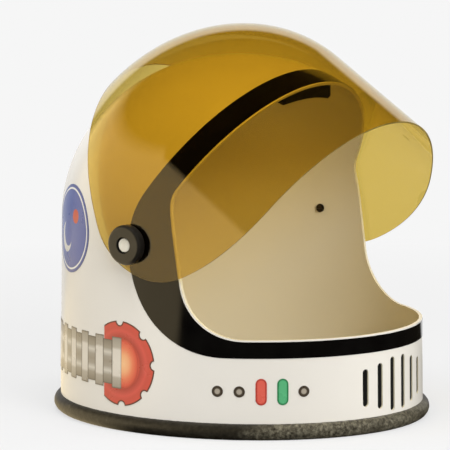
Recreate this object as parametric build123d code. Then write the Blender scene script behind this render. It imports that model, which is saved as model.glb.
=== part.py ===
from build123d import *
import os
from math import cos, radians, sin, sqrt, tan

# Toy astronaut helmet, in millimetres. +X is the wearer's left, -Y the way they face, +Z up.
# The origin is the middle of the face that the helmet stands on.
# The helmet is elliptical in plan: round forms are made first and stretched front to back.

# Shell
shell_width = 244.0
shell_length = 271.6
wall_height = 142.4
dome_rise = 119.6
base_flare = 1.5
shell_wall = 2.2
shell_foot = 3.4
overrun = 40.0

# Face opening, seen from the side: a leaning brow, a steep cheek and a level sill
sill_height = 71.2
cheek_top_y = -22.0
cheek_top_height = 170.3
jaw_y = -36.8
brow_lean = 33.6
brow_length = 118.0
cheek_radius = 18.0
jaw_radius = 44.0

# Black band round the opening, a film on the shell's outside
film = 0.2
glue_line = 0.05
band_inset = 1.2
band_brow_width = 20.0
band_chin_width = 13.0
band_back_y = 12.3
band_jaw_radius = 75.0
band_ear_radius = 70.0

# Six upright vent slots at the front, the tallest pair in the middle
vent_width = 5.0
vent_pitch = 13.6
vent_height = 33.2
vent_lengths = (39.0, 33.0, 27.0)

# Foam tube, slit along its top and pushed over the shell's lower edge
bead_diameter = 12.4
bead_flat = 0.5
bead_clearance = 0.05

# Visor, drawn closed and then lifted; its gaps are to the band, closed
pivot_y = 10.0
pivot_drop = 7.1
visor_wall = 1.2
visor_drop = 72.8
visor_side_gap = 0.3
visor_front_gap = 0.35
visor_crown_gap = 3.65
visor_lift = 57.0
lobe_start = 84.1
lobe_sweep_radius = 136.3
lobe_sweep_angle = 34.3
lobe_radius = 56.2
lobe_angle = 89.4
lobe_reach = 150.0

# Hinge, the same on both sides
stud_diameter = 9.5
stud_set_back = 1.4
saddle_diameter = 20.0
washer_diameter = 19.0
washer_thickness = 0.5
face_gap = 0.05
pin_clearance = 0.08
knob_diameter = 28.6
knob_thickness = 6.8
knob_rounding = 2.6
knob_edge_radius = 0.5
knob_recess = 2.8
knob_recess_diameter = 12.0
screw_diameter = 4.0
screw_head_diameter = 6.4
screw_head_thickness = 1.8
screw_head_radius = 0.7
screw_length = 8.0
screw_clearance = 0.05
screw_slot_width = 1.0
screw_slot_depth = 0.8

# Foam pad under the dome
crown_pad_width = 64.0
crown_pad_length = 118.0
crown_pad_thickness = 13.0
crown_pad_front = -62.0
crown_pad_corner = 14.0
crown_pad_gap = 0.3

# Prints, thin films on the shell, placed by their plan angle from the front
hose_height = 48.5
hose_rib_height = 37.0
hose_groove_height = 32.0
hose_start = 98.0
hose_sector = 4.0
hose_sectors = 41
coupling_radius = 30.6
coupling_turn = 0.4
coupling_cut_turn = 7.6
coupling_notches = 8
coupling_notch_start = 43.0
coupling_notch_diameter = 6.4
print_gap = 0.05
badge_angle = 128.0
badge_height = 138.0
badge_diameter = 64.0
marks_angle = 65.2
marks_step = 6.7
marks_height = 34.5
ring_dot_diameter = 8.0
bar_width = 8.0
bar_length = 19.0

plan_stretch = shell_length / shell_width
shell_radius = shell_width / 2
film_face = glue_line + film
brow = radians(brow_lean)
pivot_height = wall_height - pivot_drop
pivot_axis = Axis((0, pivot_y, pivot_height), (1, 0, 0))
bore_diameter = stud_diameter + pin_clearance * 2

os.makedirs("parts", exist_ok=True)


def stretched(shape, stretch=plan_stretch):
    """The shape stretched front to back, from round in plan to elliptical."""
    return scale(shape, by=(1, stretch, 1))


def spun(profile):
    """A section turned into a ring or dome, its seam at the back, and stretched."""
    return stretched(revolve(profile, Axis.Z).rotate(Axis.Z, 90))


def wall_radius(height):
    """Outer radius of the shell's round form at a height on its wall."""
    return shell_radius + base_flare * (1 - height / wall_height)


def form_radius(height, grow):
    """Radius of the round form at any height, with its surface moved outwards by grow."""
    if height < wall_height:
        return wall_radius(height) + grow
    climb_share = (height - wall_height) / (dome_rise + grow)
    return (shell_radius + grow) * sqrt(1 - climb_share**2)


def dome_profile(foot, foot_radius, shoulder, radius, rise):
    """Half section of a filled wall and dome, in X and Z, from the foot up."""
    wall_line = Line((foot_radius, foot), (radius, shoulder))
    dome_line = EllipticalCenterArc((0, shoulder), radius, rise, start_angle=0, arc_size=90)
    axis_line = Polyline((0, shoulder + rise), (0, foot), (foot_radius, foot))
    return make_face(Plane.XZ * (wall_line + dome_line + axis_line))


def helmet_profile(grow, foot):
    """Half section of the helmet's filled form, with its surface moved outwards by grow."""
    radius = shell_radius + grow
    return dome_profile(foot, wall_radius(foot) + grow, wall_height, radius, dome_rise + grow)


def helmet_form(grow):
    """The helmet's filled form, with its surface moved outwards by grow."""
    return spun(helmet_profile(grow, -overrun))


def helmet_layer(outer, inner, foot=-overrun):
    """The layer between two such surfaces, from a foot height up."""
    profile = helmet_profile(outer, foot) - helmet_profile(inner, foot)
    return spun(profile)


def side_prism(face):
    """A face drawn in Y and Z, run through the helmet from side to side."""
    return extrude(Plane.YZ * face, amount=shell_width, both=True)


def pivot_hole(diameter):
    """A round hole about the pivots, drawn in Y and Z."""
    return Pos(pivot_y, pivot_height) * Circle(diameter / 2)


def brow_point(distance, set_back):
    """Point on the brow line, or on its parallel set back into the shell."""
    y = cheek_top_y + set_back * cos(brow) - distance * sin(brow)
    z = cheek_top_height + set_back * sin(brow) + distance * cos(brow)
    return y, z


def closed_ahead(edge_line):
    """Face between the edge line, drawn from its low end, and a box well ahead of the helmet."""
    low = edge_line @ 0
    high = edge_line @ 1
    front = -shell_length
    return make_face(edge_line + Polyline(high, (front, high.Y), (front, low.Y), low))


def opening_outline():
    """Side outline of the face opening."""
    low = (-shell_radius, sill_height)
    top = brow_point(brow_length, 0)
    jaw = (jaw_y, sill_height)
    cheek = (cheek_top_y, cheek_top_height)
    return closed_ahead(FilletPolyline(low, jaw, cheek, top, radius=[jaw_radius, cheek_radius]))


def band_outline():
    """Side outline of the black band's outer edge."""
    foot = sill_height - band_chin_width
    low = (-shell_radius, foot)
    top = brow_point(brow_length, band_brow_width)
    corner_y, corner_z = brow_point(0, band_brow_width)
    ear_height = corner_z - (band_back_y - corner_y) / tan(brow)
    corners = (low, (band_back_y, foot), (band_back_y, ear_height), top)
    return closed_ahead(FilletPolyline(*corners, radius=[band_jaw_radius, band_ear_radius]))


def visor_outline():
    """Side outline of the closed visor: level lower edge, round ear lobe, leaning upper edge."""
    foot_line = Line((-shell_radius, visor_foot), (pivot_y - lobe_start, visor_foot))
    sweep = JernArc(foot_line @ 1, foot_line % 1, lobe_sweep_radius, lobe_sweep_angle)
    lobe = JernArc(sweep @ 1, sweep % 1, lobe_radius, lobe_angle)
    lean_line = Line(lobe @ 1, lobe @ 1 + (lobe % 1) * lobe_reach)
    return closed_ahead(foot_line + sweep + lobe + lean_line)


def swing_reach():
    """How far the band's face gets from the pivots along the middle of the brow and crown."""
    reaches = []
    for turn in range(91):
        y = -(shell_radius + film_face) * plan_stretch * cos(radians(turn))
        z = wall_height + (dome_rise + film_face) * sin(radians(turn))
        reaches.append(sqrt((y - pivot_y) ** 2 + (z - pivot_height) ** 2))
    return max(reaches)


def across(diameter, inner_x, outer_x):
    """A round pin about the pivot axis on the +X side, between two distances from the middle plane."""
    start = Plane((inner_x, pivot_y, pivot_height), z_dir=(1, 0, 0))
    return extrude(start * Circle(diameter / 2), amount=outer_x - inner_x)


def wall_plane(angle, height):
    """Plane on the shell's wall at a plan angle from the front, its normal straight out, its Y up."""
    turn = radians(angle)
    radius = wall_radius(height)
    place = (-radius * sin(turn), -radius * plan_stretch * cos(turn), height)
    normal = (-sin(turn), -cos(turn) / plan_stretch, 0)
    return Plane(place, x_dir=(-normal[1], normal[0], 0), z_dir=normal)


def make_shell():
    """White moulded shell with its face opening, vents and two screw holes."""
    screw_hole = pivot_hole(screw_diameter + screw_clearance * 2)
    body = helmet_layer(0, -shell_wall, shell_foot) - side_prism(opening_outline() + screw_hole)
    for pair, length in enumerate(vent_lengths):
        for side in (-1, 1):
            place = Plane.XZ * Pos(side * (pair + 0.5) * vent_pitch, vent_height)
            slot = place * SlotOverall(length, vent_width, rotation=90)
            body -= extrude(slot, amount=shell_length)
    return body


def make_band(layer):
    """Black band between its outer edge and the opening, set back to leave a white lip."""
    hole = offset(opening_outline(), band_inset) + pivot_hole(bore_diameter)
    return layer & side_prism(band_outline() - hole)


def make_bead():
    """Foam tube round the lower edge, flat where it rests."""
    centre_height = bead_diameter / 2 - bead_flat
    centre = (wall_radius(centre_height) - shell_wall / 2, centre_height)
    tube = spun(Plane.XZ * Pos(*centre) * Circle(bead_diameter / 2))
    slit = helmet_layer(bead_clearance, -shell_wall - bead_clearance, shell_foot - bead_clearance)
    below = Pos(0, 0, -bead_diameter / 2) * Box(shell_length * 2, shell_length * 2, bead_diameter)
    return tube - slit - below


def visor_profile(inset):
    """Half section of the closed visor's filled form, with its surface moved inwards by inset."""
    radius = visor_radius - inset
    rise = visor_top - visor_shoulder - inset
    return dome_profile(visor_foot - overrun, radius, visor_shoulder, radius, rise)


def make_visor():
    """Tinted visor, elliptical ahead of the middle and straight behind it, lifted as it is worn open."""
    profile = visor_profile(0) - visor_profile(visor_wall)
    arch = profile + mirror(profile, about=Plane.YZ)
    front = stretched(revolve(profile, Axis.Z, -180), visor_reach / visor_radius)
    outline = visor_outline() - pivot_hole(bore_diameter)
    body = (front + extrude(arch, amount=-shell_radius)) & side_prism(outline)
    return body.rotate(pivot_axis, -visor_lift)


def make_knob():
    """Round cap on the stud, with a recess that shows the stud's end."""
    body = across(knob_diameter, knob_face, knob_end)
    body = fillet(body.edges().sort_by(Axis.X)[-1], knob_rounding)
    body = fillet(body.edges().filter_by(GeomType.CIRCLE).sort_by(Axis.X)[0], knob_edge_radius)
    body -= across(bore_diameter, 0, shell_width)
    return body - across(knob_recess_diameter, knob_end - knob_recess, shell_width)


def make_stud(skin):
    """White stud that stands on the band, its foot cut to the helmet's curve."""
    body = across(stud_diameter, 0, stud_end) - skin
    pilot_end = screw_head_x() + screw_length + face_gap
    return body - across(screw_diameter + screw_clearance * 2, 0, pilot_end)


def make_saddle(skin):
    """Spacer with one face cut to the helmet's curve and one flat face towards the visor."""
    body = across(saddle_diameter, 0, saddle_face) - skin
    return body - across(bore_diameter, 0, shell_width)


def make_washer():
    """Thin flat washer that grips the visor under the knob."""
    body = across(washer_diameter, washer_face, washer_face + washer_thickness)
    return body - across(bore_diameter, 0, shell_width)


def screw_head_x():
    """Where the screw head's underside meets the shell's curved inside, at the head's upper rear edge."""
    head_radius = screw_head_diameter / 2
    inner_radius = form_radius(pivot_height + head_radius, -shell_wall)
    return sqrt(inner_radius**2 - ((pivot_y + head_radius) / plan_stretch) ** 2) - face_gap


def make_screw():
    """Slotted screw driven from inside the shell into the stud."""
    seat = screw_head_x()
    head = across(screw_head_diameter, seat - screw_head_thickness, seat)
    head = fillet(head.edges().sort_by(Axis.X)[0], screw_head_radius)
    slot = Box(screw_slot_depth * 2, screw_head_diameter * 2, screw_slot_width)
    head -= Pos(seat - screw_head_thickness, pivot_y, pivot_height) * slot
    return head + across(screw_diameter, seat, seat + screw_length)


def make_crown_pad():
    """Foam pad that follows the inside of the dome above the forehead."""
    outer = -shell_wall - crown_pad_gap
    body = helmet_layer(outer, outer - crown_pad_thickness)
    middle_y = crown_pad_front + crown_pad_length / 2
    plan = Pos(0, middle_y) * RectangleRounded(crown_pad_width, crown_pad_length, crown_pad_corner)
    return body & extrude(Plane.XY.offset(wall_height) * plan, amount=dome_rise)


def hose_form(inner, outer):
    """The printed hose between two distances off the wall: equal sectors, its ribs the taller ones."""
    sectors = []
    for count in range(hose_sectors):
        half = (hose_groove_height if count % 2 else hose_rib_height) / 2
        low = hose_height - half
        high = hose_height + half
        lower = ((wall_radius(low) + inner, low), (wall_radius(low) + outer, low))
        upper = ((wall_radius(high) + outer, high), (wall_radius(high) + inner, high))
        section = Plane.XZ * make_face(Polyline(*lower, *upper, close=True))
        start = 270 - hose_start - (count + 1) * hose_sector
        sectors.append(revolve(Rot(0, 0, start) * section, Axis.Z, hose_sector))
    return stretched(sectors[0].fuse(*sectors[1:]))


def hose_y(turn):
    """How far back the wall lies at an angle past the printed hose's front end."""
    return -wall_radius(hose_height) * plan_stretch * cos(radians(hose_start + turn))


def make_coupling_print(layer):
    """Printed round coupling with notches in its rim, cut off where the hose leaves it."""
    centre_y = hose_y(coupling_turn)
    disc = Circle(coupling_radius)
    for notch in range(coupling_notches):
        angle = coupling_notch_start + notch * 360 / coupling_notches
        disc -= Rot(0, 0, angle) * Pos(coupling_radius, 0) * Circle(coupling_notch_diameter / 2)
    back = coupling_radius * 2
    disc -= Pos(hose_y(coupling_cut_turn) - centre_y + back / 2, 0) * Rectangle(back, back)
    side = Plane((0, centre_y, hose_height), x_dir=(0, 1, 0), z_dir=(1, 0, 0))
    stamp = extrude(side * disc, amount=-shell_width)
    return (layer & stamp) - hose_form(-shell_wall, overrun)


def make_badge_print(layer):
    """Plain round print behind the ear."""
    place = wall_plane(badge_angle, badge_height)
    return layer & extrude(place * Circle(badge_diameter / 2), amount=overrun, both=True)


def make_mark(layer, index, shape):
    """One printed mark in the row at the front, numbered from the ear."""
    place = wall_plane(marks_angle - index * marks_step, marks_height)
    return layer & extrude(place * shape, amount=overrun / 2, both=True)


# Closed visor: clear of the band at its foot, of the brow and crown as it swings, and flat under the knobs
visor_foot = pivot_height - visor_drop
visor_radius = form_radius(visor_foot, film_face) + visor_side_gap + visor_wall
front_reach = max(form_radius(visor_foot, film_face) * plan_stretch, swing_reach() - pivot_y)
visor_reach = front_reach + visor_front_gap + visor_wall
visor_shoulder = max(wall_height, pivot_height + knob_diameter / 2)
visor_top = wall_height + dome_rise + film_face + visor_crown_gap + visor_wall

# Hinge stack, as distances from the middle plane
saddle_face = visor_radius - visor_wall - face_gap
washer_face = visor_radius + face_gap
knob_face = washer_face + washer_thickness + face_gap
knob_end = knob_face + knob_thickness
stud_end = knob_end - stud_set_back


def build():
    """Every piece of the helmet by name."""
    layer = helmet_layer(film_face, glue_line)
    skin = helmet_form(film_face + face_gap)
    coupling = make_coupling_print(layer)
    bar = SlotOverall(bar_length, bar_width, rotation=90)
    dot = Circle(ring_dot_diameter / 2)
    pieces = {
        "shell": make_shell(),
        "opening_band": make_band(layer),
        "base_bead": make_bead(),
        "visor": make_visor(),
        "crown_pad": make_crown_pad(),
        "hose_print": hose_form(glue_line, film_face),
        "right_coupling_print": coupling,
        "left_coupling_print": mirror(coupling, about=Plane.YZ),
        "round_badge_print": make_badge_print(layer),
        "red_indicator_print": make_mark(layer, 2, bar),
        "green_indicator_print": make_mark(layer, 3, bar),
        "ring_dot_prints": Compound(children=[make_mark(layer, index, dot) for index in (0, 1, 4)]),
    }
    hinge = {
        "pivot_knob": make_knob(),
        "pivot_stud": make_stud(skin),
        "friction_washer": make_washer(),
        "saddle_washer": make_saddle(skin),
        "pivot_screw": make_screw(),
    }
    for name, piece in hinge.items():
        pieces["left_" + name] = piece
        pieces["right_" + name] = mirror(piece, about=Plane.YZ)
    return pieces


for name, piece in build().items():
    export_step(piece, "parts/" + name + ".step")
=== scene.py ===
import math

import bmesh
import bpy
import numpy as np
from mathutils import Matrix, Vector


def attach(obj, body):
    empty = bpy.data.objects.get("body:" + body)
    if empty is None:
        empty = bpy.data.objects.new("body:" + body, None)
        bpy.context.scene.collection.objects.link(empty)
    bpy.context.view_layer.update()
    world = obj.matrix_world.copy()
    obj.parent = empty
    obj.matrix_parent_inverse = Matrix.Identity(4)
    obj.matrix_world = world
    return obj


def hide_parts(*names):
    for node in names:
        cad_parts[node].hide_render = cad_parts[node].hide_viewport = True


# Toy astronaut helmet. Metres, +Z up, -Y the way the wearer faces, +X the wearer's left.
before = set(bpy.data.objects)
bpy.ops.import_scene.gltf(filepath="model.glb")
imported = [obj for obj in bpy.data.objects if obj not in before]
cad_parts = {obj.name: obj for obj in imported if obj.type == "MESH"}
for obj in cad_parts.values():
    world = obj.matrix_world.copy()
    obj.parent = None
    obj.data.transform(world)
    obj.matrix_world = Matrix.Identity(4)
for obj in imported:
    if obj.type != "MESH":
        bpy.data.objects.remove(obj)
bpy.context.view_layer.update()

MM = 0.001

# The helmet's form: a slightly flared wall under a dome, stretched front to back
shell_radius = 122.0 * MM
plan_stretch = 271.6 / 244.0
wall_height = 142.4 * MM
dome_rise = 119.6 * MM
base_flare = 1.5 * MM
shell_wall = 2.2 * MM

# The vent slots, from the middle pair outwards, and the near-black plates that darken them: a plate's gap all
# round, how far it lies under the shell's face, its thickness and half its width at the slot's round ends
vent_width = 5.0 * MM
vent_height = 33.2 * MM
vent_spacing = 13.6 * MM
vent_lengths = (39.0 * MM, 33.0 * MM, 27.0 * MM)
plate_gap = 0.05 * MM
plate_depth = 0.8 * MM
plate_thickness = 1.2 * MM
plate_end = 0.3 * MM

# The visor's form, closed, and how far it is lifted about its pivots
visor_radius = 124.592 * MM
visor_reach = 138.565 * MM
visor_shoulder = 149.6 * MM
visor_rise = 117.5 * MM
visor_lift = 57.0
pivot_y = 10.0 * MM
pivot_height = 135.3 * MM

# The foam tube, its cells, and the way in which its skin is worn and lightened by a painted sheen. The crown
# pad:
# how much its corners are rounded, how wide its soft edge is as a share of its half, how thick it is there,
# and how far off the dome
bead_radius = 6.2 * MM
bead_centre = 5.7 * MM
cell_size = 5.0 * MM
cell_depth = -0.5 * MM
wear_and_sheen_way = (-0.3, -0.95, 0)
wear_and_sheen_from = 92.0 * MM
wear_and_sheen_full = 122.0 * MM
pad_width = 64.0 * MM
pad_length = 118.0 * MM
pad_front = -62.0 * MM
pad_thickness = 13.0 * MM
pad_gap = 0.3 * MM
pad_rounding = 0.12
pad_edge = 0.07
pad_edge_share = 0.75
pad_edge_drop = 1.2 * MM

# The prints: plan angles from the front in degrees, heights and sizes
hose_height = 48.5 * MM
hose_start = 98.0
hose_sector = 4.0
rib_reach = 18.5 * MM
groove_reach = 16.0 * MM
coupling_turn = 0.4
coupling_radius = 30.6 * MM
collar_reach = 31.0 * MM
outline_reach = 1.3 * MM
outline_full = 0.5 * MM
notch_radius = 3.2 * MM
notch_count = 8
notch_start = 43.0
port_radius = 18.0 * MM
port_aside = 3.0 * MM
port_squeeze = 1.3
badge_angle = 128.0
badge_height = 138.0 * MM
badge_radius = 32.0 * MM
marks_angle = 65.2
marks_step = 6.7
marks_height = 34.5 * MM
mark_radius = 4.0 * MM
bar_straight = 5.5 * MM
# Which places in the row of five marks each print takes, from the hose forwards
mark_places = {"ring_dot_prints": (0, 1, 4), "red_indicator_print": (2,), "green_indicator_print": (3,)}

# The longest edge left on a curved skin, how near levels and points count as one, and the least crease
skin_edge = 5.0 * MM
split_rounds = 5
one_skin = 0.002 * MM
same_point = 0.0005 * MM
crease_angle = 28.0

# Tones of the shell's faces and of the visor's dye; the inside's tone is partly its own cream and partly
# painted amber light
outside_white = "#E4DFD5"
inside_cream_and_amber_light = "#F4E6C2"
edge_cream = "#DDD2B4"
dye_tone = "#D8BC5E"

# Both forms as the functions below take them
HELMET = dict(radius=shell_radius, stretch=plan_stretch, flare=base_flare, height=wall_height, rise=dome_rise,
              flat_ears=False, lift=0)
VISOR = dict(radius=visor_radius, stretch=visor_reach / visor_radius, flare=0, height=visor_shoulder,
             rise=visor_rise, flat_ears=True, lift=visor_lift)


# Meshes


def turned(points, degrees):
    """Points turned about the visor's pivots, from closed towards lifted."""
    turn = math.radians(-degrees)
    y, z = points[:, 1] - pivot_y, points[:, 2] - pivot_height
    out = points.copy()
    out[:, 1] = pivot_y + y * math.cos(turn) - z * math.sin(turn)
    out[:, 2] = pivot_height + y * math.sin(turn) + z * math.cos(turn)
    return out


def round_plan(form, points):
    """X and Y of points in the form's unstretched, round plan."""
    y = points[:, 1] / form["stretch"]
    if form["flat_ears"]:
        y = np.minimum(y, 0)
    return points[:, 0], y


def skin_level(form, points):
    """How far out of the form each point lies: 0 on its surface."""
    x, y = round_plan(form, points)
    across = np.hypot(x, y)
    up = points[:, 2] - form["height"]
    dome = up > 0
    wall_level = across - form["radius"] + form["flare"] * up / form["height"]
    dome_level = form["radius"] * (np.hypot(across / form["radius"], up / form["rise"]) - 1)
    level = np.where(dome, dome_level, wall_level)
    # Newton steps to the level of the dome that each point lies on
    for _ in range(8):
        wide, tall = form["radius"] + level, form["rise"] + level
        miss = (across / wide) ** 2 + (up / tall) ** 2 - 1
        slope = -2 * across**2 / wide**3 - 2 * up**2 / tall**3
        level = np.where(dome, level - miss / slope, level)
    return level


def on_skin(form, points, level):
    """The points moved on to the form's surface at their levels, and that surface's normals."""
    x, y = round_plan(form, points)
    across = np.maximum(np.hypot(x, y), 1e-9)
    up = points[:, 2] - form["height"]
    wide, tall = form["radius"] + level, form["rise"] + level
    dome = up > 0
    wall_fit = (wide - form["flare"] * up / form["height"]) / across
    dome_fit = 1 / np.sqrt((across / wide) ** 2 + (up / tall) ** 2)
    fit = np.where(dome, dome_fit, wall_fit)
    stretched = (points[:, 1] < 0) | (not form["flat_ears"])
    placed = points.copy()
    placed[:, 0] *= fit
    placed[:, 1] *= np.where(stretched, fit, 1)
    placed[:, 2] = form["height"] + up * np.where(dome, fit, 1)
    x, y = round_plan(form, placed)
    up = placed[:, 2] - form["height"]
    rising = np.where(dome, up * (wide / tall) ** 2, form["flare"] * across / form["height"])
    normal = np.stack([x, y / form["stretch"], rising], 1)
    return placed, normal / np.linalg.norm(normal, axis=1)[:, None]


def refined(name, node_name, form, cut_slot=0):
    """A copy of a CAD node with its facets split and drawn out to the form it was cut from.

    Its cut edges take the material slot given for them.
    """
    bm = bmesh.new()
    bm.from_mesh(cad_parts[node_name].data)
    bmesh.ops.remove_doubles(bm, verts=bm.verts, dist=same_point)
    levels = bm.verts.layers.float.new("skin_level")
    start = turned(np.array([v.co for v in bm.verts], float), -form["lift"])
    for vert, level in zip(bm.verts, skin_level(form, start)):
        vert[levels] = level
    for _ in range(split_rounds):
        long_edges = [e for e in bm.edges if e.calc_length() > skin_edge]
        bmesh.ops.subdivide_edges(bm, edges=long_edges, cuts=1, use_single_edge=True, use_grid_fill=True)
        many_sided = [f for f in bm.faces if len(f.verts) > 3]
        bmesh.ops.triangulate(bm, faces=many_sided, quad_method="SHORT_EDGE")
    mesh = bpy.data.meshes.new(name)
    bm.to_mesh(mesh)
    bm.free()
    points = np.empty(len(mesh.vertices) * 3)
    mesh.vertices.foreach_get("co", points)
    level = np.empty(len(mesh.vertices))
    mesh.attributes["skin_level"].data.foreach_get("value", level)
    placed, normal = on_skin(form, turned(points.reshape(-1, 3), -form["lift"]), level)
    tips = turned(placed + normal, form["lift"])
    placed = turned(placed, form["lift"])
    mesh.vertices.foreach_set("co", placed.ravel())
    mesh.update()
    # Faces that lie level with the form take its normals; cut edges keep their own
    corners = np.empty(len(mesh.loops), int)
    mesh.loops.foreach_get("vertex_index", corners)
    flat = np.empty(len(mesh.polygons) * 3)
    mesh.polygons.foreach_get("normal", flat)
    flat = np.repeat(flat.reshape(-1, 3), 3, 0)
    curved = (tips - placed)[corners]
    facing = np.sum(curved * flat, 1)
    spread = np.repeat(np.ptp(level[corners].reshape(-1, 3), 1), 3)
    skin = (spread < one_skin) & (abs(facing) > 0.5)
    normals = np.where(skin[:, None], curved * np.sign(facing)[:, None], flat)
    mesh.polygons.foreach_set("material_index", np.where(skin[::3], 0, cut_slot))
    mesh.attributes.remove(mesh.attributes["skin_level"])
    mesh.normals_split_custom_set(normals)
    return added(name, mesh)


def smoothed(name, node_name):
    """A copy of a CAD node, merged and shaded smooth except along its creases."""
    bm = bmesh.new()
    bm.from_mesh(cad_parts[node_name].data)
    bmesh.ops.remove_doubles(bm, verts=bm.verts, dist=same_point)
    for edge in bm.edges:
        edge.smooth = edge.calc_face_angle(math.pi) < math.radians(crease_angle)
    for face in bm.faces:
        face.smooth = True
    mesh = bpy.data.meshes.new(name)
    bm.to_mesh(mesh)
    bm.free()
    return added(name, mesh)


def added(name, mesh):
    """A new object at the origin that shows the mesh."""
    piece = bpy.data.objects.new(name, mesh)
    bpy.context.scene.collection.objects.link(piece)
    return piece


def vertices(piece):
    """The places of a piece's vertices."""
    points = np.empty(len(piece.data.vertices) * 3)
    piece.data.vertices.foreach_get("co", points)
    return points.reshape(-1, 3)


def wall_spot(angle, height):
    """A place on the shell's wall at a plan angle in degrees, and the level way along the wall there."""
    turn = math.radians(angle)
    radius = shell_radius + base_flare * (1 - height / wall_height)
    place = np.array([-radius * math.sin(turn), -radius * plan_stretch * math.cos(turn), height])
    normal = np.array([-math.sin(turn), -math.cos(turn) / plan_stretch])
    normal /= np.linalg.norm(normal)
    return place, np.array([-normal[1], normal[0], 0])


def print_map(piece, along, up):
    """Gives a print a UV map in its own units: along the wall and up it, from the print's middle."""
    corners = np.empty(len(piece.data.loops), int)
    piece.data.loops.foreach_get("vertex_index", corners)
    flat = piece.data.uv_layers.new(name="print")
    flat.data.foreach_set("uv", np.stack([along, up], 1)[corners].ravel())


def map_marks(piece, places):
    """Maps each part of a print, in metres, from the nearest of the places."""
    points = vertices(piece)
    spots = [wall_spot(angle, height) for angle, height in places]
    gaps = np.array([np.linalg.norm(points - place, axis=1) for place, _ in spots])
    along, up = np.zeros(len(points)), np.zeros(len(points))
    for index, (place, level) in enumerate(spots):
        near = gaps.argmin(0) == index
        along[near] = ((points - place) @ level)[near]
        up[near] = (points[:, 2] - place[2])[near]
    print_map(piece, along, up)


def map_hose(piece):
    """Maps the printed hose: along in sectors from its front end, up in metres from its middle line."""
    points = vertices(piece)
    turn = np.degrees(np.arctan2(-points[:, 0], -points[:, 1] / plan_stretch)) % 360
    print_map(piece, (turn - hose_start) / hose_sector, points[:, 2] - hose_height)


def map_coupling(piece):
    """Maps a printed coupling, in metres from its centre, with the hose on the positive side."""
    points = vertices(piece)
    centre, _ = wall_spot(hose_start + coupling_turn, hose_height)
    print_map(piece, points[:, 1] - centre[1], points[:, 2] - hose_height)


# Materials


def colour(code):
    """A linear colour from its sRGB hex value."""
    shares = [int(code[i : i + 2], 16) / 255 for i in (1, 3, 5)]
    return [s / 12.92 if s <= 0.04045 else ((s + 0.055) / 1.055) ** 2.4 for s in shares] + [1]


def node(tree, kind, inputs=None, stops=(), **settings):
    """Adds a node; each input is a value, a socket to link from, or a node whose first output is linked.

    A colour ramp also gets its stops, each a position and an sRGB hex value.
    """
    made = tree.nodes.new(kind)
    for key, value in settings.items():
        setattr(made, key, value)
    for key, value in (inputs or {}).items():
        if isinstance(value, bpy.types.Node):
            value = next(socket for socket in value.outputs if socket.enabled)
        if isinstance(value, bpy.types.NodeSocket):
            tree.links.new(value, made.inputs[key])
        else:
            made.inputs[key].default_value = value
    if stops:
        points = made.color_ramp.elements
        while len(points) < len(stops):
            points.new(1)
        for point, (position, code) in zip(points, stops):
            point.position = position
            point.color = colour(code)
    return made


def material(name):
    """An empty material, its node tree and its output node."""
    made = bpy.data.materials.new(name)
    made.use_nodes = True
    tree = made.node_tree
    tree.nodes.clear()
    return made, tree, node(tree, "ShaderNodeOutputMaterial")


def grain(tree, size, strength, distance):
    """A fine bump from noise whose grains are about the given size."""
    place = node(tree, "ShaderNodeTexCoord").outputs["Object"]
    noise = node(tree, "ShaderNodeTexNoise", {"Vector": place, "Scale": 1 / size, "Detail": 2.0})
    return node(tree, "ShaderNodeBump", {"Height": noise, "Strength": strength, "Distance": distance})


def varied(tree, size, low, high):
    """A value that drifts between two limits over patches of about the given size."""
    place = node(tree, "ShaderNodeTexCoord").outputs["Object"]
    noise = node(tree, "ShaderNodeTexNoise", {"Vector": place, "Scale": 1 / size, "Detail": 3.0})
    return node(tree, "ShaderNodeMapRange", {0: noise, 1: 0.3, 2: 0.7, 3: low, 4: high})


def moulded_abs_shell():
    """ABS, injection moulded and glossy: a faint ripple, a cream inside with painted amber light, and cream
    cut edges.
    """
    made, tree, out = material("moulded_white_abs")
    place = node(tree, "ShaderNodeTexCoord").outputs["Object"]
    # A face turned from the helmet's middle is outside, one turned to it is inside, the rest are cuts
    middle = (0, 0, 0.6 * wall_height)
    from_middle = node(tree, "ShaderNodeVectorMath", {0: place, 1: middle}, operation="SUBTRACT")
    outwards = node(tree, "ShaderNodeVectorMath", {0: from_middle}, operation="NORMALIZE")
    facing = node(tree, "ShaderNodeVectorMath", {
        0: outwards, 1: node(tree, "ShaderNodeNewGeometry").outputs["True Normal"]}, operation="DOT_PRODUCT")
    share = node(tree, "ShaderNodeMapRange", {0: facing.outputs["Value"], 1: -1.0, 2: 1.0})
    # Inside faces take a cream that is partly the shell's own tone and partly painted amber light from the
    # visor
    sides = node(tree, "ShaderNodeValToRGB", {0: share}, stops=(
        (0.0, inside_cream_and_amber_light), (0.30, inside_cream_and_amber_light), (0.36, edge_cream), (0.64, edge_cream),
        (0.68, outside_white), (1.0, outside_white)))
    drift = node(tree, "ShaderNodeMix", {
        0: varied(tree, 40 * MM, 0.0, 0.03), 6: sides, 7: colour("#CFC8B8")}, data_type="RGBA")
    shader = node(tree, "ShaderNodeBsdfPrincipled", {
        "Base Color": drift.outputs[2], "Roughness": varied(tree, 25 * MM, 0.25, 0.27), "IOR": 1.52,
        "Normal": grain(tree, 9 * MM, 0.05, 0.3 * MM)})
    tree.links.new(shader.outputs[0], out.inputs["Surface"])
    return made


def vinyl_band():
    """Self-adhesive black vinyl: a mirror-like gloss with a faint drag of the squeegee in it."""
    made, tree, out = material("black_vinyl")
    tone = node(tree, "ShaderNodeMix", {
        0: varied(tree, 15 * MM, 0.0, 1.0), 6: colour("#060505"), 7: colour("#0C0B0A")}, data_type="RGBA")
    shader = node(tree, "ShaderNodeBsdfPrincipled", {
        "Base Color": tone.outputs[2], "Roughness": varied(tree, 30 * MM, 0.06, 0.12), "IOR": 1.42,
        "Normal": grain(tree, 14 * MM, 0.04, 0.2 * MM)})
    tree.links.new(shader.outputs[0], out.inputs["Surface"])
    return made


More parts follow.
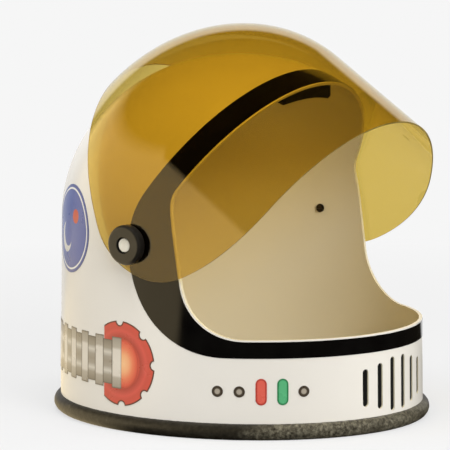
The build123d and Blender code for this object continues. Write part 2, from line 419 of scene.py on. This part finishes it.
def foam_tube():
    """Closed-cell polyethylene foam, extruded: a skinned tube, lighter grey-olive where its cells show
    through and where a sheen is painted.
    """
    made, tree, out = material("closed_cell_foam")
    place = node(tree, "ShaderNodeTexCoord").outputs["Object"]
    flecks = node(tree, "ShaderNodeTexNoise", {
        "Vector": place, "Scale": 1 / (2.6 * MM), "Detail": 5.0, "Roughness": 0.75})
    skinned = node(tree, "ShaderNodeValToRGB", {0: flecks}, stops=(
        (0.34, "#19160F"), (0.62, "#2E2A21"), (0.75, "#423E32")))
    worn_and_sheen = node(tree, "ShaderNodeValToRGB", {0: flecks}, stops=(
        (0.36, "#262219"), (0.48, "#4E493B"), (0.60, "#716C5B"), (0.72, "#8C8672")))
    # The skin is worn off in patches and a sheen is painted on, most of all at the front
    patches = node(tree, "ShaderNodeTexNoise", {"Vector": place, "Scale": 1 / (45 * MM), "Detail": 3.0})
    forwards = node(tree, "ShaderNodeVectorMath", {0: place, 1: wear_and_sheen_way}, operation="DOT_PRODUCT")
    front = node(tree, "ShaderNodeMapRange", {
        0: forwards.outputs["Value"], 1: wear_and_sheen_from, 2: wear_and_sheen_full, 3: -0.25, 4: 0.16})
    reach = node(tree, "ShaderNodeMath", {0: patches, 1: front}, operation="ADD")
    share = node(tree, "ShaderNodeMapRange", {0: reach, 1: 0.42, 2: 0.60})
    tone = node(tree, "ShaderNodeMix", {0: share, 6: skinned, 7: worn_and_sheen}, data_type="RGBA")
    cells = node(tree, "ShaderNodeTexVoronoi", {"Vector": place, "Scale": 1 / (1.6 * MM)})
    bump = node(tree, "ShaderNodeBump", {"Height": cells, "Strength": 0.35, "Distance": 0.25 * MM})
    shader = node(tree, "ShaderNodeBsdfPrincipled", {
        "Base Color": tone.outputs[2], "Roughness": 0.5, "IOR": 1.5, "Normal": bump})
    tree.links.new(shader.outputs[0], out.inputs["Surface"])
    return made


def pad_foam():
    """Open-cell polyurethane foam, cut from sheet: dull black, its cells twice their real size to show."""
    made, tree, out = material("open_cell_foam")
    place = node(tree, "ShaderNodeTexCoord").outputs["Object"]
    cells = node(tree, "ShaderNodeTexVoronoi", {"Vector": place, "Scale": 1 / (1.5 * MM)})
    tone = node(tree, "ShaderNodeValToRGB", {0: cells}, stops=(
        (0.0, "#0B0A09"), (0.5, "#1B1917"), (1.0, "#2B2825")))
    bump = node(tree, "ShaderNodeBump", {"Height": cells, "Strength": 0.8, "Distance": 0.5 * MM})
    shader = node(tree, "ShaderNodeBsdfPrincipled", {
        "Base Color": tone, "Roughness": 0.95, "IOR": 1.45, "Normal": bump})
    tree.links.new(shader.outputs[0], out.inputs["Surface"])
    return made


def amber_polycarbonate():
    """Polycarbonate sheet, dyed amber and thermoformed: clear and glossy."""
    made, tree, out = material("amber_polycarbonate")
    clear = node(tree, "ShaderNodeBsdfPrincipled", {
        "Base Color": colour(dye_tone), "Roughness": 0.0, "IOR": 1.5, "Transmission Weight": 1.0})
    # Light that lands on the helmet crosses both faces unbent, and each takes half of the dye's tint
    tint = [0.96 * share**0.5 for share in colour(dye_tone)[:3]]
    passing = node(tree, "ShaderNodeBsdfTransparent", {"Color": (*tint, 1)})
    rays = node(tree, "ShaderNodeLightPath")
    landing = node(tree, "ShaderNodeMath", {
        0: rays.outputs["Is Shadow Ray"], 1: rays.outputs["Is Diffuse Ray"]}, operation="MAXIMUM")
    mix = node(tree, "ShaderNodeMixShader", {0: landing, 1: clear, 2: passing})
    tree.links.new(mix.outputs[0], out.inputs["Surface"])
    return made


def sawn_edge():
    """Polycarbonate where the sheet was cut: the dye gathers in it, and the cut is dull."""
    made, tree, out = material("cut_polycarbonate")
    tone = node(tree, "ShaderNodeMix", {
        0: varied(tree, 20 * MM, 0.0, 1.0), 6: colour("#A8904A"), 7: colour("#7E6A2C")}, data_type="RGBA")
    shader = node(tree, "ShaderNodeBsdfPrincipled", {
        "Base Color": tone.outputs[2], "Roughness": 0.4, "IOR": 1.58,
        "Normal": grain(tree, 0.8 * MM, 0.2, 0.05 * MM)})
    tree.links.new(shader.outputs[0], out.inputs["Surface"])
    return made


def dark_slot_finish():
    """Near-black plates, dull with a faint sheen and a fine cell pattern every millimetre; they darken the
    view through the slots.
    """
    made, tree, out = material("near_black_slot_plates")
    place = node(tree, "ShaderNodeTexCoord").outputs["Object"]
    fine_cells = node(tree, "ShaderNodeTexVoronoi", {
        "Vector": place, "Scale": 1 / (1.0 * MM), "Randomness": 0.15})
    tone = node(tree, "ShaderNodeValToRGB", {0: fine_cells}, stops=(
        (0.0, "#0B0A07"), (0.5, "#060503"), (1.0, "#020201")))
    bump = node(tree, "ShaderNodeBump", {"Height": fine_cells, "Strength": 0.5, "Distance": 0.2 * MM})
    shader = node(tree, "ShaderNodeBsdfPrincipled", {
        "Base Color": tone, "Roughness": 0.9, "Sheen Weight": 0.1, "Normal": bump})
    tree.links.new(shader.outputs[0], out.inputs["Surface"])
    return made


def moulded(name, codes, roughness, texture_size, texture_depth, metal=0.0):
    """A moulded plastic or blackened metal with a fine even texture and a slight drift of tone."""
    made, tree, out = material(name)
    tone = node(tree, "ShaderNodeMix", {
        0: varied(tree, 8 * MM, 0.0, 1.0), 6: colour(codes[0]), 7: colour(codes[1])}, data_type="RGBA")
    shader = node(tree, "ShaderNodeBsdfPrincipled", {
        "Base Color": tone.outputs[2], "Roughness": roughness, "Metallic": metal,
        "Normal": grain(tree, texture_size, 0.25, texture_depth)})
    tree.links.new(shader.outputs[0], out.inputs["Surface"])
    return made


def ink(name, draw):
    """Ink on clear vinyl film, under a satin laminate; the drawing is given by a function of its map."""
    made, tree, out = material(name)
    spot = node(tree, "ShaderNodeUVMap", uv_map="print")
    along_up = node(tree, "ShaderNodeSeparateXYZ", {0: spot})
    out_from_centre = node(tree, "ShaderNodeVectorMath", {0: spot}, operation="LENGTH").outputs["Value"]
    tone = draw(tree, along_up.outputs[0], along_up.outputs[1], out_from_centre)
    shader = node(tree, "ShaderNodeBsdfPrincipled", {
        "Base Color": tone, "Roughness": varied(tree, 12 * MM, 0.26, 0.34), "IOR": 1.5,
        "Normal": grain(tree, 9 * MM, 0.05, 0.3 * MM)})
    tree.links.new(shader.outputs[0], out.inputs["Surface"])
    return made


def draw_hose(tree, along, up, _):
    """A ribbed steel hose: pale ribs with shaded ends, grooves with two lights, dark lines between them."""
    off_middle = node(tree, "ShaderNodeMath", {0: up}, operation="ABSOLUTE")
    across_rib = node(tree, "ShaderNodeMapRange", {0: off_middle, 2: rib_reach})
    rib = node(tree, "ShaderNodeValToRGB", {0: across_rib}, stops=(
        (0.0, "#DDD5C6"), (0.50, "#D8CFC0"), (0.60, "#B0A797"), (0.93, "#9C9384"), (1.0, "#5F574A")))
    across_groove = node(tree, "ShaderNodeMapRange", {0: off_middle, 2: groove_reach})
    groove = node(tree, "ShaderNodeValToRGB", {0: across_groove}, stops=(
        (0.0, "#978D7D"), (0.22, "#A1988A"), (0.42, "#CFC8BA"), (0.60, "#9D9484"), (0.94, "#7F7667"),
        (1.0, "#554D41")))
    # Ribs and grooves take turns by sector, with a dark line where they meet
    half = node(tree, "ShaderNodeMath", {0: along, 1: 0.5}, operation="MULTIPLY")
    halfway = node(tree, "ShaderNodeMath", {0: half}, operation="FRACT")
    in_groove = node(tree, "ShaderNodeMath", {0: halfway, 1: 0.5}, operation="GREATER_THAN")
    steps = node(tree, "ShaderNodeMath", {0: along}, operation="FRACT")
    off_line = node(tree, "ShaderNodeMath", {0: steps, 1: 0.5}, operation="SUBTRACT")
    to_line = node(tree, "ShaderNodeMath", {0: off_line}, operation="ABSOLUTE")
    line = node(tree, "ShaderNodeMapRange", {0: to_line, 1: 0.40, 2: 0.47})
    dark = node(tree, "ShaderNodeMath", {0: line, 1: 0.65}, operation="MULTIPLY")
    ribbed = node(tree, "ShaderNodeMix", {0: in_groove, 6: rib, 7: groove}, data_type="RGBA").outputs[2]
    lined = node(tree, "ShaderNodeMix", {0: dark, 6: ribbed, 7: colour("#4F463A")}, data_type="RGBA")
    return lined.outputs[2]


def draw_coupling(tree, along, up, out_from_centre):
    """A red notched collar round a glowing port beside its middle, and a dark line along the rim."""
    outwards = node(tree, "ShaderNodeMapRange", {0: out_from_centre, 2: collar_reach})
    rim = node(tree, "ShaderNodeValToRGB", {0: outwards}, stops=(
        (0.0, "#C8523F"), (0.55, "#C34A3B"), (0.60, "#A63B2F"), (0.66, "#B5453A"), (0.76, "#CC5145"),
        (0.83, "#C24B3D"), (1.0, "#C9493C")))
    aside = node(tree, "ShaderNodeMath", {0: along, 1: port_aside}, operation="ADD")
    squeezed = node(tree, "ShaderNodeMath", {0: aside, 1: port_squeeze}, operation="MULTIPLY")
    reach = node(tree, "ShaderNodeCombineXYZ", {0: squeezed, 1: up})
    to_port = node(tree, "ShaderNodeVectorMath", {0: reach}, operation="LENGTH").outputs["Value"]
    glow = node(tree, "ShaderNodeMapRange", {0: to_port, 2: port_radius})
    port = node(tree, "ShaderNodeValToRGB", {0: glow}, stops=(
        (0.0, "#F0BE8A"), (0.34, "#EBA877"), (0.62, "#E07A55"), (0.88, "#D0553F"), (1.0, "#A93C2C")))
    inside = node(tree, "ShaderNodeMath", {0: to_port, 1: port_radius}, operation="LESS_THAN")
    # The outline follows the rim and its notches, which are folded onto one by angle
    angle = node(tree, "ShaderNodeMath", {0: up, 1: along}, operation="ARCTAN2")
    turned_back = node(tree, "ShaderNodeMath", {0: angle, 1: np.radians(notch_start)}, operation="SUBTRACT")
    half_step = np.pi / notch_count
    folded = node(tree, "ShaderNodeMath", {0: turned_back, 1: half_step, 2: -half_step}, operation="WRAP")
    level = node(tree, "ShaderNodeMath", {0: folded}, operation="COSINE")
    rise = node(tree, "ShaderNodeMath", {0: folded}, operation="SINE")
    facing = node(tree, "ShaderNodeCombineXYZ", {0: level, 1: rise})
    spot = node(tree, "ShaderNodeVectorMath", {0: facing, "Scale": out_from_centre}, operation="SCALE")
    from_notch = node(tree, "ShaderNodeVectorMath", {
        0: spot.outputs[0], 1: (coupling_radius, 0, 0)}, operation="DISTANCE")
    to_notch = node(tree, "ShaderNodeMath", {
        0: from_notch.outputs["Value"], 1: notch_radius}, operation="SUBTRACT")
    to_rim = node(tree, "ShaderNodeMath", {0: coupling_radius, 1: out_from_centre}, operation="SUBTRACT")
    to_edge = node(tree, "ShaderNodeMath", {0: to_rim, 1: to_notch}, operation="MINIMUM")
    line = node(tree, "ShaderNodeMapRange", {0: to_edge, 1: outline_reach, 2: outline_full})
    lit = node(tree, "ShaderNodeMix", {0: inside, 6: rim, 7: port}, data_type="RGBA").outputs[2]
    lined = node(tree, "ShaderNodeMix", {0: line, 6: lit, 7: colour("#43231A")}, data_type="RGBA")
    return lined.outputs[2]


def draw_badge(tree, along, up, out_from_centre):
    """A plain blue roundel with a thin white ring, a pale crescent and a small red moon."""
    outwards = node(tree, "ShaderNodeMapRange", {0: out_from_centre, 2: badge_radius})
    disc = node(tree, "ShaderNodeValToRGB", {0: outwards}, stops=(
        (0.0, "#5568A8"), (0.80, "#495B9C"), (0.885, "#445696"), (0.895, "#E9E6DD"), (0.925, "#E9E6DD"),
        (0.935, "#445696"), (1.0, "#3C4C88")))
    tone = disc.outputs[0]
    # Discs by middle and radius in millimetres, and tone: the second leaves a crescent of the first
    moons = (((-8, -7), 11, "#DAD7CE"), ((-5, -4), 9.4, "#4C5EA2"), ((11, 10), 5.2, "#C4503F"))
    for middle, radius, code in moons:
        offset = node(tree, "ShaderNodeCombineXYZ", {0: along, 1: up})
        spot = node(tree, "ShaderNodeVectorMath", {
            0: offset, 1: (middle[0] * MM, middle[1] * MM, 0)}, operation="DISTANCE").outputs["Value"]
        inside = node(tree, "ShaderNodeMapRange", {0: spot, 1: (radius + 0.2) * MM, 2: (radius - 0.2) * MM})
        tone = node(tree, "ShaderNodeMix", {0: inside, 6: tone, 7: colour(code)}, data_type="RGBA").outputs[2]
    return tone


def draw_dot(tree, along, up, out_from_centre):
    """A dark ring round a grey lamp."""
    outwards = node(tree, "ShaderNodeMapRange", {0: out_from_centre, 2: mark_radius})
    return node(tree, "ShaderNodeValToRGB", {0: outwards}, stops=(
        (0.0, "#ABA190"), (0.44, "#A09686"), (0.56, "#4A4034"), (1.0, "#40372B")))


def draw_bar(middle, edge):
    """A coloured lamp with a darker border."""
    def draw(tree, along, up, _):
        upright = node(tree, "ShaderNodeMath", {0: up}, operation="ABSOLUTE")
        past = node(tree, "ShaderNodeMath", {0: upright, 1: bar_straight}, operation="SUBTRACT")
        end = node(tree, "ShaderNodeMath", {0: past, 1: 0.0}, operation="MAXIMUM")
        spot = node(tree, "ShaderNodeCombineXYZ", {0: along, 1: end})
        inset = node(tree, "ShaderNodeVectorMath", {0: spot}, operation="LENGTH").outputs["Value"]
        outwards = node(tree, "ShaderNodeMapRange", {0: inset, 2: mark_radius})
        return node(tree, "ShaderNodeValToRGB", {0: outwards}, stops=(
            (0.0, middle), (0.64, middle), (0.76, edge), (1.0, edge)))
    return draw


def dress(piece, *given):
    """Gives a piece its finishes, one for each of its material slots, in place of any it has."""
    slots = np.zeros(len(piece.data.polygons), np.int32)
    piece.data.polygons.foreach_get("material_index", slots)
    piece.data.materials.clear()
    for finish in given:
        piece.data.materials.append(finish)
    piece.data.polygons.foreach_set("material_index", slots)


black_plastic = moulded("black_abs", ("#1A1814", "#24211D"), 0.34, 0.7 * MM, 0.06 * MM)
white_pin = moulded("white_abs_pin", ("#E6E1D2", "#DAD3C0"), 0.42, 1.2 * MM, 0.05 * MM)
nylon = moulded("natural_nylon", ("#DEDACB", "#D0CBB9"), 0.5, 0.9 * MM, 0.05 * MM)
black_steel = moulded("blackened_steel", ("#4A4238", "#2B2620"), 0.32, 0.5 * MM, 0.04 * MM, metal=1.0)
red_bar = ink("red_ink", draw_bar("#D8604F", "#B23F33"))
green_bar = ink("green_ink", draw_bar("#58AE78", "#2F7F4E"))
coupling_ink = ink("collar_ink", draw_coupling)

finishes = {
    "shell": moulded_abs_shell(), "opening_band": vinyl_band(), "base_bead": foam_tube(),
    "crown_pad": pad_foam(), "visor": amber_polycarbonate(), "hose_print": ink("hose_ink", draw_hose),
    "right_coupling_print": coupling_ink, "left_coupling_print": coupling_ink,
    "round_badge_print": ink("badge_ink", draw_badge), "ring_dot_prints": ink("dot_ink", draw_dot),
    "red_indicator_print": red_bar, "green_indicator_print": green_bar,
}
for side in ("right", "left"):
    finishes[side + "_pivot_knob"] = black_plastic
    finishes[side + "_pivot_stud"] = white_pin
    finishes[side + "_friction_washer"] = nylon
    finishes[side + "_saddle_washer"] = nylon
    finishes[side + "_pivot_screw"] = black_steel


# The foam tube, swept by Geometry Nodes


def tube_nodes():
    """A ring in plan, oval, swept with a round section, dimpled like foam and flat where it rests."""
    group = bpy.data.node_groups.new("foam_tube", "GeometryNodeTree")
    for name, kind in (("Half width", "Float"), ("Half length", "Float"), ("Tube radius", "Float"),
                       ("Centre height", "Float"), ("Cell size", "Float"), ("Cell depth", "Float"),
                       ("Foam", "Material")):
        group.interface.new_socket(name, in_out="INPUT", socket_type="NodeSocket" + kind)
    group.interface.new_socket("Tube", in_out="OUTPUT", socket_type="NodeSocketGeometry")
    given = node(group, "NodeGroupInput")
    size = given.outputs
    round_path = node(group, "GeometryNodeCurvePrimitiveCircle", {"Resolution": 720, "Radius": 1.0})
    stretch = node(group, "ShaderNodeCombineXYZ", {0: size["Half width"], 1: size["Half length"], 2: 1.0})
    lift = node(group, "ShaderNodeCombineXYZ", {2: size["Centre height"]})
    path = node(group, "GeometryNodeTransform", {
        "Geometry": round_path, "Scale": stretch, "Translation": lift})
    section = node(group, "GeometryNodeCurvePrimitiveCircle", {
        "Resolution": 44, "Radius": size["Tube radius"]})
    tube = node(group, "GeometryNodeCurveToMesh", {"Curve": path, "Profile Curve": section})
    scale = node(group, "ShaderNodeMath", {0: 1.0, 1: size["Cell size"]}, operation="DIVIDE")
    cells = node(group, "ShaderNodeTexNoise", {"Scale": scale, "Detail": 3.0})
    dent = node(group, "ShaderNodeMath", {0: cells, 1: size["Cell depth"]}, operation="MULTIPLY")
    inwards = node(group, "ShaderNodeVectorMath", {
        0: node(group, "GeometryNodeInputNormal"), "Scale": dent}, operation="SCALE")
    dimpled = node(group, "GeometryNodeSetPosition", {"Geometry": tube, "Offset": inwards})
    place = node(group, "ShaderNodeSeparateXYZ", {0: node(group, "GeometryNodeInputPosition")})
    rest = node(group, "ShaderNodeMath", {0: place.outputs[2], 1: 0.0}, operation="MAXIMUM")
    level = node(group, "ShaderNodeCombineXYZ", {0: place.outputs[0], 1: place.outputs[1], 2: rest})
    flat = node(group, "GeometryNodeSetPosition", {"Geometry": dimpled, "Position": level})
    soft = node(group, "GeometryNodeSetShadeSmooth", {"Geometry": flat})
    real = node(group, "GeometryNodeRealizeInstances", {"Geometry": soft})
    done = node(group, "GeometryNodeSetMaterial", {"Geometry": real, "Material": size["Foam"]})
    node(group, "NodeGroupOutput", {"Tube": done})
    return group


def grown(name, group, values):
    """A piece at the origin made by a Geometry Nodes group from its named inputs."""
    seed = added(name + "_seed", bpy.data.meshes.new(name + "_seed"))
    modifier = seed.modifiers.new("nodes", "NODES")
    modifier.node_group = group
    for item in group.interface.items_tree:
        if item.item_type == "SOCKET" and item.name in values:
            modifier[item.identifier] = values[item.name]
    graph = bpy.context.evaluated_depsgraph_get()
    mesh = bpy.data.meshes.new_from_object(seed.evaluated_get(graph))
    mesh.name = name
    seed.modifiers.remove(modifier)
    bpy.data.objects.remove(seed)
    bm = bmesh.new()
    bm.from_mesh(mesh)
    bmesh.ops.recalc_face_normals(bm, faces=bm.faces)
    bm.to_mesh(mesh)
    bm.free()
    return added(name, mesh)


def vent_inserts(name, finish):
    """A near-black plate in each vent slot, a little under the shell's face, which darkens the view through
    it.
    """
    rows, columns = 25, 7
    along, across = np.meshgrid(np.linspace(-1, 1, rows), np.linspace(-1, 1, columns), indexing="ij")
    vents = [(side * (pair + 0.5) * vent_spacing, length)
             for pair, length in enumerate(vent_lengths) for side in (-1, 1)]
    parts = []
    for place, length in vents:
        reach = length / 2 - plate_gap
        straight = length / 2 - vent_width / 2
        past = np.maximum(np.abs(along) * reach - straight, 0)
        half = np.sqrt(np.maximum((vent_width / 2 - plate_gap) ** 2 - past**2, plate_end**2))
        x, z = place + across * half, vent_height + along * reach
        sheets = []
        for depth in (plate_depth, plate_depth + plate_thickness):
            radius = shell_radius + base_flare * (1 - z / wall_height) - depth
            spots = (x, -radius * plan_stretch * np.sqrt(1 - (x / radius) ** 2), z)
            sheets.append(np.stack([part.ravel() for part in spots], 1))
        parts.append(two_sided(name, sheets, rows, columns, finish))
    return joined(name, parts)


def joined(name, parts):
    """Several pieces as one, under the given name."""
    bm = bmesh.new()
    for part in parts:
        bm.from_mesh(part.data)
    for part in parts[1:]:
        bpy.data.objects.remove(part)
    bm.to_mesh(parts[0].data)
    bm.free()
    parts[0].name = name
    return parts[0]


def two_sided(name, sheets, rows, columns, finish):
    """A closed piece between two grids of points."""
    count = rows * columns
    faces = []
    for row in range(rows - 1):
        for column in range(columns - 1):
            first = row * columns + column
            quad = (first, first + 1, first + columns + 1, first + columns)
            faces.append(quad)
            faces.append(tuple(count + index for index in reversed(quad)))
    border = list(range(columns))
    border += [row * columns + columns - 1 for row in range(1, rows)]
    border += [(rows - 1) * columns + column for column in range(columns - 2, -1, -1)]
    border += [row * columns for row in range(rows - 2, 0, -1)]
    for here, there in zip(border, border[1:] + border[:1]):
        faces.append((here, count + here, count + there, there))
    mesh = bpy.data.meshes.new(name)
    mesh.from_pydata(np.concatenate(sheets).tolist(), [], faces)
    bm = bmesh.new()
    bm.from_mesh(mesh)
    bmesh.ops.recalc_face_normals(bm, faces=bm.faces)
    for face in bm.faces:
        face.smooth = True
    bm.to_mesh(mesh)
    bm.free()
    piece = added(name, mesh)
    dress(piece, finish)
    return piece


def crown_pad(name, finish):
    """A cut foam block, held to the dome, its lower face crowned and its edges soft."""
    rows, columns = 61, 35
    half_width, half_length = pad_width / 2, pad_length / 2
    u, v = np.meshgrid(np.linspace(-1, 1, columns), np.linspace(-1, 1, rows))
    # A square grid drawn out to a plan with round corners
    plan_x = half_width * u * np.sqrt(1 - pad_rounding * v**2)
    plan_y = pad_front + half_length + half_length * v * np.sqrt(1 - pad_rounding * u**2)
    # From 0 at the pad's edge to 1 a little way in, as a quarter circle
    edge = np.clip(1 - np.maximum(abs(u), abs(v)), 0, 1)
    swell = np.sqrt(np.clip(1 - (1 - np.clip(edge / pad_edge, 0, 1)) ** 2, 0, 1))
    points = []
    for top in (True, False):
        x, y = plan_x.ravel(), plan_y.ravel()
        if top:
            level = np.full(x.shape, -shell_wall - pad_gap)
            level = level - pad_edge_drop * (1 - swell.ravel())
        else:
            share = pad_edge_share + (1 - pad_edge_share) * swell.ravel()
            level = -shell_wall - pad_gap - pad_thickness * share
        wide, tall = shell_radius + level, dome_rise + level
        z = wall_height + tall * np.sqrt(1 - (x / wide) ** 2 - (y / plan_stretch / wide) ** 2)
        points.append(np.stack([x, y, z], 1))
    return two_sided(name, points, rows, columns, finish)


def stands_for(piece, node_name, body="helmet"):
    """The piece takes its CAD node's place and body."""
    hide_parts(node_name)
    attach(piece, body)


for name in ("shell", "opening_band", "hose_print", "right_coupling_print", "left_coupling_print",
             "round_badge_print", "red_indicator_print", "green_indicator_print", "ring_dot_prints"):
    piece = refined(name + "_skin", name, HELMET)
    dress(piece, finishes[name])
    if name == "hose_print":
        map_hose(piece)
    elif name.endswith("coupling_print"):
        map_coupling(piece)
    elif name == "round_badge_print":
        map_marks(piece, [(badge_angle, badge_height)])
    elif name in mark_places:
        map_marks(piece, [(marks_angle - index * marks_step, marks_height) for index in mark_places[name]])
    stands_for(piece, name)

visor = refined("visor_skin", "visor", VISOR, cut_slot=1)
dress(visor, finishes["visor"], sawn_edge())
stands_for(visor, "visor", "visor")

for side in ("right", "left"):
    for part in ("pivot_knob", "pivot_stud", "friction_washer", "saddle_washer", "pivot_screw"):
        name = side + "_" + part
        piece = smoothed(name + "_smooth", name)
        dress(piece, finishes[name])
        stands_for(piece, name)

middle_radius = shell_radius + base_flare * (1 - bead_centre / wall_height) - shell_wall / 2
bead = grown("foam_tube", tube_nodes(), {
    "Half width": middle_radius, "Half length": middle_radius * plan_stretch, "Tube radius": bead_radius,
    "Centre height": bead_centre, "Cell size": cell_size, "Cell depth": cell_depth,
    "Foam": finishes["base_bead"]})
stands_for(bead, "base_bead")

pad = crown_pad("crown_foam", finishes["crown_pad"])
stands_for(pad, "crown_pad")

plates = vent_inserts("vent_inserts", dark_slot_finish())
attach(plates, "helmet")

# The CAD nodes behind these pieces carry the same finishes
for name, finish in finishes.items():
    dress(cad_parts[name], finish)


# Studio

# The camera was found by fitting the helmet's ellipses and pivots to the photograph
camera_azimuth = math.radians(-54.9066)
camera_elevation = math.radians(7.6869)
camera_distance = 3.172
camera_aside = -11.79 * MM
camera_above = -6.14 * MM
sensor_width = 36.0
lens_length = 347.0

back = Vector((
    math.sin(camera_azimuth) * math.cos(camera_elevation),
    -math.cos(camera_azimuth) * math.cos(camera_elevation),
    math.sin(camera_elevation),
))
aside = Vector((math.cos(camera_azimuth), math.sin(camera_azimuth), 0))
above = back.cross(aside)
paper_white = "#F6F6F6"
paper_shade = "#CCCCCC"
paper_bounce = "#8A8A8A"
card_tone = "#FFE8B8"
card_light = 1.55
dark_side = 0.02
# The card begins at a plane through the helmet and ends where a reflection rises or goes sideways this far
card_edge = (0.12, 0.96, -0.25)
card_top = 0.47
card_side = 0.2
# The paper behind the helmet, by how directly a ray goes ahead
paper_rim = 0.76
paper_full = 0.82
fill_light = 0.26
floor_half = 6.0
floor_shade = 0.30
shade_start = 0.2
shade_reach = 0.9


def add_camera():
    """The photograph's camera."""
    lens = bpy.data.cameras.new("camera")
    lens.sensor_width = sensor_width
    lens.lens = lens_length
    camera = bpy.data.objects.new("camera", lens)
    bpy.context.scene.collection.objects.link(camera)
    target = Vector((0, 0, wall_height))
    camera.location = target + back * camera_distance + aside * camera_aside + above * camera_above
    camera.rotation_mode = "QUATERNION"
    camera.rotation_quaternion = (-back).to_track_quat("-Z", "Y")
    bpy.context.scene.camera = camera


def add_lamp(name, place, size, power):
    """A soft box that faces the helmet, kept out of reflections, which the bright card gives."""
    data = bpy.data.lights.new(name, "AREA")
    data.shape = "RECTANGLE"
    data.size, data.size_y = size
    data.energy = power
    lamp = bpy.data.objects.new(name, data)
    bpy.context.scene.collection.objects.link(lamp)
    lamp.location = place
    lamp.rotation_mode = "QUATERNION"
    lamp.rotation_quaternion = (Vector((0, 0, wall_height)) - Vector(place)).to_track_quat("-Z", "Y")
    lamp.visible_glossy = False
    lamp.visible_transmission = False


def card(tree, coordinate):
    """What gloss reflects: a bright card with soft edges behind the helmet, and a dark studio in front."""
    behind = node(tree, "ShaderNodeVectorMath", {0: coordinate, 1: card_edge}, operation="DOT_PRODUCT")
    share = node(tree, "ShaderNodeMapRange", {0: behind.outputs["Value"], 1: -0.01, 2: 0.03})
    parts = node(tree, "ShaderNodeSeparateXYZ", {0: coordinate}).outputs
    under = node(tree, "ShaderNodeMapRange", {0: parts[2], 1: card_top + 0.08, 2: card_top - 0.04})
    near = node(tree, "ShaderNodeMapRange", {0: parts[0], 1: card_side + 0.05, 2: card_side - 0.05})
    both = node(tree, "ShaderNodeMath", {0: share, 1: under}, operation="MULTIPLY")
    three = node(tree, "ShaderNodeMath", {0: both, 1: near}, operation="MULTIPLY")
    strength = node(tree, "ShaderNodeMapRange", {0: three, 3: dark_side, 4: card_light})
    reflected = node(tree, "ShaderNodeVectorMath", {
        0: colour(card_tone)[:3], "Scale": strength}, operation="SCALE")
    # The paper hangs behind the helmet, and a ray that went straight through the visor meets paper anywhere
    rays = node(tree, "ShaderNodeLightPath")
    straight = node(tree, "ShaderNodeMath", {
        0: rays.outputs["Is Transmission Ray"], 1: rays.outputs["Glossy Depth"]}, operation="GREATER_THAN")
    level = node(tree, "ShaderNodeVectorMath", {0: coordinate}, operation="NORMALIZE")
    ahead = node(tree, "ShaderNodeVectorMath", {0: level, 1: -back}, operation="DOT_PRODUCT").outputs["Value"]
    hung = node(tree, "ShaderNodeMapRange", {0: ahead, 1: paper_rim, 2: paper_full})
    clear = node(tree, "ShaderNodeMath", {0: straight, 1: hung}, operation="MAXIMUM")
    return node(tree, "ShaderNodeMix", {
        0: clear, 6: reflected, 7: colour(paper_white)}, data_type="RGBA").outputs[2]


def add_floor():
    """White paper under the helmet, shaded near it, which gloss doesn't reflect."""
    mesh = bpy.data.meshes.new("floor")
    corners = [(x * floor_half, y * floor_half, 0) for x, y in ((-1, -1), (1, -1), (1, 1), (-1, 1))]
    mesh.from_pydata(corners, [], [(0, 1, 2, 3)])
    floor = added("floor", mesh)
    made, tree, out = material("paper_floor")
    place = node(tree, "ShaderNodeTexCoord").outputs["Object"]
    rays = node(tree, "ShaderNodeLightPath")
    paper = node(tree, "ShaderNodeBsdfDiffuse", {"Color": colour(paper_shade)})
    even = node(tree, "ShaderNodeEmission", {"Color": colour(paper_white)})
    away = node(tree, "ShaderNodeVectorMath", {0: place}, operation="LENGTH").outputs["Value"]
    shade = node(tree, "ShaderNodeMapRange", {
        0: away, 1: shade_start, 2: shade_reach, 3: floor_shade, 4: 0.0})
    seen = node(tree, "ShaderNodeMixShader", {0: shade, 1: even, 2: paper})
    mirrored = node(tree, "ShaderNodeEmission", {"Color": card(tree, place)})
    looks = node(tree, "ShaderNodeMath", {
        0: rays.outputs["Is Camera Ray"], 1: rays.outputs["Is Transmission Ray"]}, operation="MAXIMUM")
    bounce = node(tree, "ShaderNodeBsdfDiffuse", {"Color": colour(paper_bounce)})
    lit = node(tree, "ShaderNodeMixShader", {0: looks, 1: bounce, 2: seen})
    full = node(tree, "ShaderNodeMixShader", {0: rays.outputs["Is Glossy Ray"], 1: lit, 2: mirrored})
    tree.links.new(full.outputs[0], out.inputs["Surface"])
    dress(floor, made)


def set_world():
    """White paper to the eye, an even fill for the light, and the card for gloss."""
    world = bpy.data.worlds.new("studio")
    world.use_nodes = True
    bpy.context.scene.world = world
    tree = world.node_tree
    tree.nodes.clear()
    out = node(tree, "ShaderNodeOutputWorld")
    rays = node(tree, "ShaderNodeLightPath")
    seen = node(tree, "ShaderNodeMath", {
        0: rays.outputs["Is Camera Ray"], 1: rays.outputs["Is Transmission Ray"]}, operation="MAXIMUM")
    paper = node(tree, "ShaderNodeBackground", {"Color": colour(paper_white), "Strength": 1.0})
    fill = node(tree, "ShaderNodeBackground", {"Color": colour("#FFFFFF"), "Strength": fill_light})
    direction = node(tree, "ShaderNodeTexCoord").outputs["Generated"]
    gloss = node(tree, "ShaderNodeBackground", {"Color": card(tree, direction)})
    lit = node(tree, "ShaderNodeMixShader", {0: seen, 1: fill, 2: paper})
    full = node(tree, "ShaderNodeMixShader", {0: rays.outputs["Is Glossy Ray"], 1: lit, 2: gloss})
    tree.links.new(full.outputs[0], out.inputs["Surface"])


add_camera()
add_lamp("front", (-0.85, -1.75, 0.97), (0.8, 0.8), 27)
add_lamp("top", (-0.35, -0.05, 1.85), (1.2, 1.2), 32)
add_lamp("side", (-1.7, 1.2, 0.45), (0.8, 0.8), 16)
add_lamp("right", (1.1, -1.7, 0.5), (0.8, 0.8), 17)
add_floor()
set_world()

bpy.context.scene.view_settings.view_transform = "Standard"
